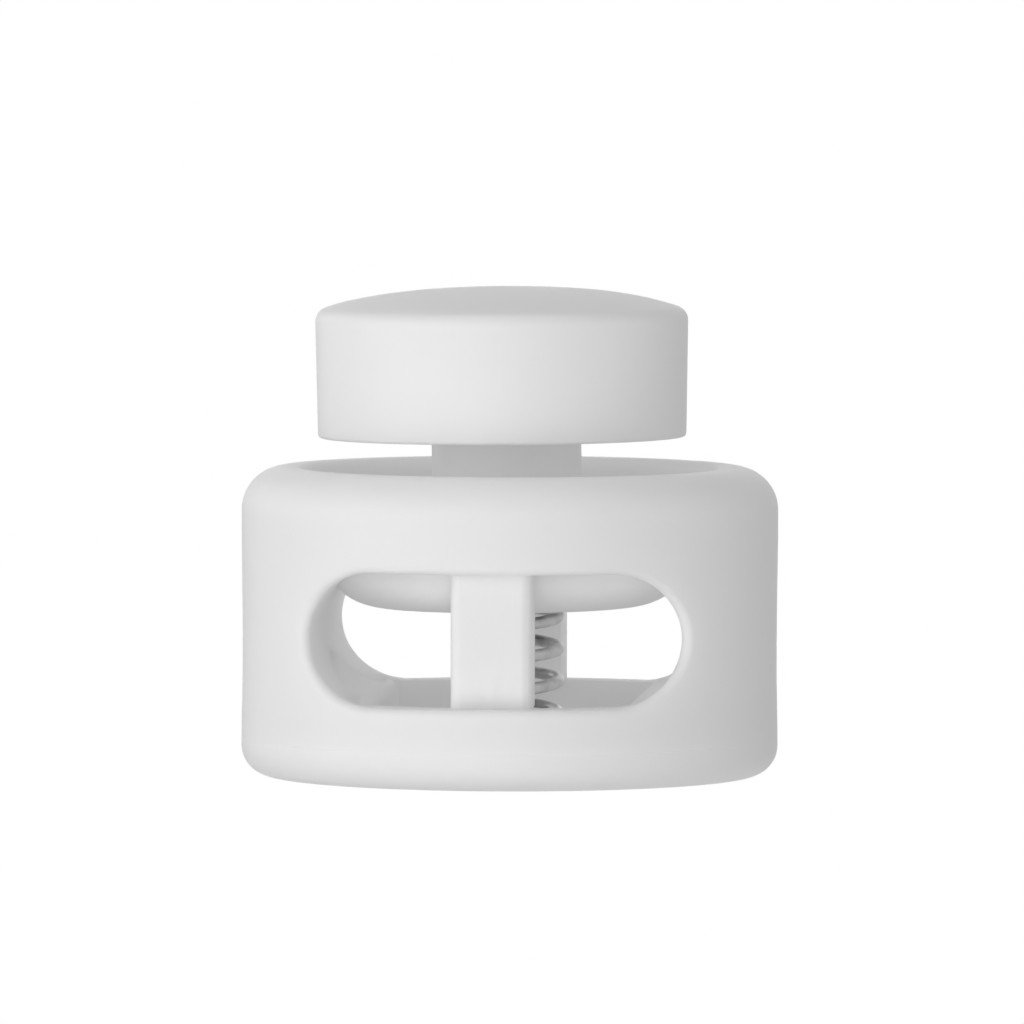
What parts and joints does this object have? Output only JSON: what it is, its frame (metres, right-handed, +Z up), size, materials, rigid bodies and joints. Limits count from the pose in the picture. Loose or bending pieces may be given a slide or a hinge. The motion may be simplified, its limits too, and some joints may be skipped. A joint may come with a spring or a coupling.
{
  "type": "cord lock",
  "caption": "Round push-button cord lock: a spring-loaded plunger pinches cords that pass through the body from front to back, either side of a post.",
  "frame": {"origin": "centre of the flat underside", "axes": "+Z up along the button's axis, Y along the cords (front towards -Y), X across the two cord holes"},
  "size_m": [0.022, 0.022, 0.0201],
  "materials": {
    "body_plastic": "white moulded plastic, fine satin",
    "base_plastic": "white moulded plastic, fine satin",
    "button_plastic": "white moulded plastic, fine satin",
    "plunger_plastic": "white moulded plastic, fine satin",
    "spring_steel": "drawn spring wire, slightly dull"
  },
  "bodies": {
    "body": {"barrel": "body_plastic", "base_cap": "base_plastic"},
    "spring": {"return_spring": "spring_steel"},
    "plunger": {"plunger": "plunger_plastic", "button_cap": "button_plastic"}
  },
  "joints": [
    {"name": "plunger_spin", "type": "hinge", "parent": "body", "child": "spring", "pos_m": [0, 0, 0], "axis": [0, 0, 1], "continuous": true},
    {"name": "button_press", "type": "slide", "parent": "spring", "child": "plunger", "axis": [0, 0, -1], "range_m": [0, 0.0032], "stiffness_N_per_m": 820, "springref_m": -0.0012, "deforming": ["return_spring"]}
  ]
}
